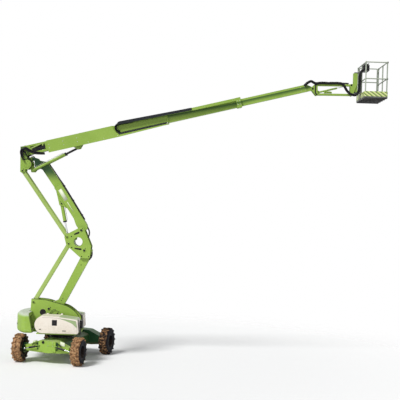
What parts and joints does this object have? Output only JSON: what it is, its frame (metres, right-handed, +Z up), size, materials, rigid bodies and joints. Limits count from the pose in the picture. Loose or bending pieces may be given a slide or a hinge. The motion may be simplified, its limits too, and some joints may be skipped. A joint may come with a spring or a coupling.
{
  "type": "articulating boom lift",
  "caption": "Self-propelled articulating boom lift with folding risers, telescopic boom, jib and turning basket, steering wheels and slewing turntable.",
  "frame": {"origin": "on the ground, on the slewing axis of the turntable", "axes": "+X along the boom towards the basket, +Z up, so the hinge pins of the arm lie along Y"},
  "size_m": [11.5838, 3.7772, 9.79],
  "materials": {
    "green_paint": "gloss",
    "dark_green_paint": "satin",
    "cast_green": "satin",
    "white_cowl": "gloss",
    "black_steel": "satin",
    "ram_steel": "polished",
    "dark_rim": "satin",
    "tyre": "matte",
    "machine_block": "matte",
    "tank_plastic": "matte",
    "control_black": "satin",
    "hose_rubber": "matte",
    "chain_plastic": "matte",
    "rail_grey": "satin",
    "deck_grey": "matte",
    "hazard_board": "satin"
  },
  "bodies": {
    "chassis": {"chassis_frame": "green_paint", "slew_ring": "black_steel", "front_axle": "green_paint", "rear_axle": "green_paint"},
    "knuckle_left": {"knuckle_left": "dark_green_paint"},
    "knuckle_right": {"knuckle_right": "dark_green_paint"},
    "wheel_front_left": {"tyre_front_left": "tyre", "rim_front_left": "dark_rim"},
    "wheel_front_right": {"tyre_front_right": "tyre", "rim_front_right": "dark_rim"},
    "wheel_rear_left": {"tyre_rear_left": "tyre", "rim_rear_left": "dark_rim"},
    "wheel_rear_right": {"tyre_rear_right": "tyre", "rim_rear_right": "dark_rim"},
    "steer_barrel_left": {"steer_barrel_left": "black_steel"},
    "steer_barrel_right": {"steer_barrel_right": "black_steel"},
    "steer_rod_left": {"steer_rod_left": "ram_steel"},
    "steer_rod_right": {"steer_rod_right": "ram_steel"},
    "turntable": {"turntable_frame": "green_paint", "counterweight": "cast_green", "engine_block": "machine_block", "hydraulic_tank": "tank_plastic", "ground_controls": "control_black"},
    "cowl_right": {"cowl_right": "white_cowl"},
    "cowl_left": {"cowl_left": "white_cowl"},
    "riser_lower": {"riser_lower": "green_paint"},
    "tie_lower": {"tie_lower": "green_paint"},
    "knuckle_mid": {"knuckle_mid": "green_paint"},
    "riser_upper": {"riser_upper": "green_paint"},
    "tie_upper": {"tie_upper": "green_paint"},
    "knuckle_top": {"knuckle_top": "green_paint"},
    "riser_ram_barrel": {"riser_ram_barrel": "green_paint"},
    "riser_ram_rod": {"riser_ram_rod": "ram_steel"},
    "boom_outer": {"boom_outer": "green_paint", "hose_chain_lower": "chain_plastic"},
    "boom_mid": {"boom_mid": "green_paint"},
    "boom_inner": {"boom_inner": "green_paint"},
    "hose_chain_bend": {"hose_chain_bend": "chain_plastic"},
    "luff_ram_barrels": {"luff_ram_barrels": "black_steel"},
    "luff_ram_rods": {"luff_ram_rods": "ram_steel"},
    "jib_base": {"jib_base": "green_paint"},
    "jib_lower_arm": {"jib_lower_arm": "green_paint"},
    "jib_upper_arm": {"jib_upper_arm": "green_paint", "jib_hoses": "hose_rubber"},
    "jib_post": {"jib_post": "green_paint"},
    "jib_ram_barrel": {"jib_ram_barrel": "green_paint"},
    "jib_ram_rod": {"jib_ram_rod": "ram_steel"},
    "basket": {"basket_floor": "deck_grey", "toe_boards": "hazard_board", "basket_rails": "rail_grey", "basket_console": "control_black"},
    "basket_gate": {"basket_gate": "rail_grey"}
  },
  "joints": [
    {"name": "slew", "type": "hinge", "parent": "chassis", "child": "turntable", "pos_m": [0, 0, 0.898], "axis": [0, 0, 1], "range_deg": [-282.9, 72.1]},
    {"name": "riser", "type": "hinge", "parent": "turntable", "child": "riser_lower", "pos_m": [-0.425, 0, 1.617], "axis": [0, -1, 0], "range_deg": [-52, 8]},
    {"name": "tie_lower_foot", "type": "hinge", "parent": "turntable", "child": "tie_lower", "pos_m": [-0.928, 0, 1.817], "axis": [0, -1, 0], "range_deg": [-53, 9]},
    {"name": "knuckle_mid_pivot", "type": "hinge", "parent": "riser_lower", "child": "knuckle_mid", "pos_m": [0.645, 0, 3.511], "axis": [0, -1, 0], "range_deg": [-9, 53]},
    {"name": "riser_upper_foot", "type": "hinge", "parent": "knuckle_mid", "child": "riser_upper", "pos_m": [0.531, 0, 4.155], "axis": [0, -1, 0], "range_deg": [-9, 53]},
    {"name": "tie_upper_foot", "type": "hinge", "parent": "knuckle_mid", "child": "tie_upper", "pos_m": [0.084, 0, 3.923], "axis": [0, -1, 0], "range_deg": [-9, 53]},
    {"name": "knuckle_top_pivot", "type": "hinge", "parent": "riser_upper", "child": "knuckle_top", "pos_m": [-0.96, 0, 6.232], "axis": [0, -1, 0], "range_deg": [-53, 9]},
    {"name": "riser_ram_foot", "type": "hinge", "parent": "riser_upper", "child": "riser_ram_barrel", "pos_m": [-0.149, 0, 4.987], "axis": [0, -1, 0], "range_deg": [-1.46, 3.98]},
    {"name": "riser_ram_stroke", "type": "slide", "parent": "riser_ram_barrel", "child": "riser_ram_rod", "axis": [0.2139, 0, -0.9769], "range_m": [-0.4476, 0.0731]},
    {"name": "luff", "type": "hinge", "parent": "knuckle_top", "child": "boom_outer", "pos_m": [-1.34, 0, 6.59], "axis": [0, 1, 0], "range_deg": [-57.6, 19.4]},
    {"name": "luff_ram_foot", "type": "hinge", "parent": "knuckle_top", "child": "luff_ram_barrels", "pos_m": [-1.092, 0, 6.02], "axis": [0, -1, 0], "range_deg": [-18.07, 51.69]},
    {"name": "luff_ram_stroke", "type": "slide", "parent": "luff_ram_barrels", "child": "luff_ram_rods", "axis": [0.8786, 0, 0.4776], "range_m": [-0.1895, 0.5529]},
    {"name": "telescope", "type": "slide", "parent": "boom_outer", "child": "boom_mid", "axis": [0.9686, 0, 0.2487], "range_m": [-2.1, 0.8]},
    {"name": "telescope_inner", "type": "slide", "parent": "boom_mid", "child": "boom_inner", "axis": [0.9686, 0, 0.2487], "range_m": [-2.105, 0.805]},
    {"name": "hose_chain_travel", "type": "slide", "parent": "boom_outer", "child": "hose_chain_bend", "axis": [0.9686, 0, 0.2487], "range_m": [-1.055, 0.405]},
    {"name": "jib_level", "type": "hinge", "parent": "boom_inner", "child": "jib_base", "pos_m": [7.8, 0, 8.93], "axis": [0, 1, 0], "range_deg": [-20.4, 58.6]},
    {"name": "jib", "type": "hinge", "parent": "jib_base", "child": "jib_lower_arm", "pos_m": [7.923, 0, 8.755], "axis": [0, -1, 0], "range_deg": [-65, 60]},
    {"name": "jib_upper_foot", "type": "hinge", "parent": "jib_base", "child": "jib_upper_arm", "pos_m": [7.913, 0, 9.061], "axis": [0, -1, 0], "range_deg": [-66, 61]},
    {"name": "jib_post_pivot", "type": "hinge", "parent": "jib_upper_arm", "child": "jib_post", "pos_m": [9.043, 0, 9.079], "axis": [0, -1, 0], "range_deg": [-61, 66]},
    {"name": "jib_ram_foot", "type": "hinge", "parent": "jib_base", "child": "jib_ram_barrel", "pos_m": [8.01, 0, 8.83], "axis": [0, -1, 0], "range_deg": [-70.68, 65.32]},
    {"name": "jib_ram_stroke", "type": "slide", "parent": "jib_ram_barrel", "child": "jib_ram_rod", "axis": [0.9689, 0, 0.2473], "range_m": [-0.2442, 0.2258]},
    {"name": "basket_turn", "type": "hinge", "parent": "jib_post", "child": "basket", "pos_m": [9.19, 0, 9.165], "axis": [0, 0, 1], "range_deg": [-90, 90]},
    {"name": "gate", "type": "hinge", "parent": "basket", "child": "basket_gate", "pos_m": [10.013, 0.688, 9.28], "axis": [0, 0, 1], "range_deg": [0, 90]},
    {"name": "cowl_right_hinge", "type": "hinge", "parent": "turntable", "child": "cowl_right", "pos_m": [0, -0.345, 1.482], "axis": [-1, 0, 0], "range_deg": [0, 80]},
    {"name": "cowl_left_hinge", "type": "hinge", "parent": "turntable", "child": "cowl_left", "pos_m": [0, 0.345, 1.482], "axis": [1, 0, 0], "range_deg": [0, 80]},
    {"name": "steer", "type": "hinge", "parent": "chassis", "child": "knuckle_left", "pos_m": [0.46981, -1.15628, 0.465], "axis": [0, 0, 1], "range_deg": [-34.5, 25.5]},
    {"name": "steer_right", "type": "hinge", "parent": "chassis", "child": "knuckle_right", "pos_m": [-0.99561, -0.75263, 0.465], "axis": [0, 0, 1], "range_deg": [-35.5, 26.5]},
    {"name": "steer_ram_left_foot", "type": "hinge", "parent": "chassis", "child": "steer_barrel_left", "pos_m": [-0.00052, -1.24455, 0.545], "axis": [0, 0, 1], "range_deg": [-2.4, 2.89]},
    {"name": "steer_ram_left_stroke", "type": "slide", "parent": "steer_barrel_left", "child": "steer_rod_left", "axis": [0.9562, -0.2051, -0.2087], "range_m": [-0.11, 0.0826]},
    {"name": "steer_ram_right_foot", "type": "hinge", "parent": "chassis", "child": "steer_barrel_right", "pos_m": [-0.63682, -1.06928, 0.545], "axis": [0, 0, 1], "range_deg": [-1.6, 1.81]},
    {"name": "steer_ram_right_stroke", "type": "slide", "parent": "steer_barrel_right", "child": "steer_rod_right", "axis": [-0.9223, 0.3161, -0.2225], "range_m": [-0.0832, 0.1108]},
    {"name": "wheel_front_left_spin", "type": "hinge", "parent": "knuckle_left", "child": "wheel_front_left", "pos_m": [0.68093, -1.19693, 0.44], "axis": [0.982, -0.1891, 0], "continuous": true},
    {"name": "wheel_front_right_spin", "type": "hinge", "parent": "knuckle_right", "child": "wheel_front_right", "pos_m": [-1.20673, -0.71198, 0.44], "axis": [0.982, -0.1891, 0], "continuous": true},
    {"name": "wheel_rear_left_spin", "type": "hinge", "parent": "chassis", "child": "wheel_rear_left", "pos_m": [1.3277, 1.14866, 0.44], "axis": [0.9641, -0.2656, 0], "continuous": true},
    {"name": "wheel_rear_right_spin", "type": "hinge", "parent": "chassis", "child": "wheel_rear_right", "pos_m": [-0.55228, 1.6665, 0.44], "axis": [0.9641, -0.2656, 0], "continuous": true}
  ],
  "couplings": [
    {"joint": "tie_lower_foot", "follows": "riser", "ratio": 1},
    {"joint": "knuckle_mid_pivot", "follows": "riser", "ratio": -1},
    {"joint": "riser_upper_foot", "follows": "riser", "ratio": -1},
    {"joint": "tie_upper_foot", "follows": "riser", "ratio": -1},
    {"joint": "knuckle_top_pivot", "follows": "riser", "ratio": 1},
    {"joint": "riser_ram_foot", "follows": "riser", "ratio": -0.057342},
    {"joint": "riser_ram_stroke", "follows": "riser", "m_per_rad": 0.48767},
    {"joint": "luff_ram_foot", "follows": "luff", "ratio": -0.88},
    {"joint": "luff_ram_stroke", "follows": "luff", "m_per_rad": -0.545},
    {"joint": "telescope_inner", "follows": "telescope", "ratio": 1},
    {"joint": "hose_chain_travel", "follows": "telescope", "ratio": 0.5},
    {"joint": "jib_level", "follows": "luff", "ratio": -1},
    {"joint": "jib_upper_foot", "follows": "jib", "ratio": 1},
    {"joint": "jib_post_pivot", "follows": "jib", "ratio": -1},
    {"joint": "jib_ram_foot", "follows": "jib", "ratio": 1.072},
    {"joint": "jib_ram_stroke", "follows": "jib", "m_per_rad": 0.21088},
    {"joint": "steer_right", "follows": "steer", "ratio": 1},
    {"joint": "steer_ram_left_foot", "follows": "steer", "ratio": -0.054903},
    {"joint": "steer_ram_left_stroke", "follows": "steer", "m_per_rad": 0.17441},
    {"joint": "steer_ram_right_foot", "follows": "steer", "ratio": -0.02354},
    {"joint": "steer_ram_right_stroke", "follows": "steer", "m_per_rad": -0.17564}
  ]
}
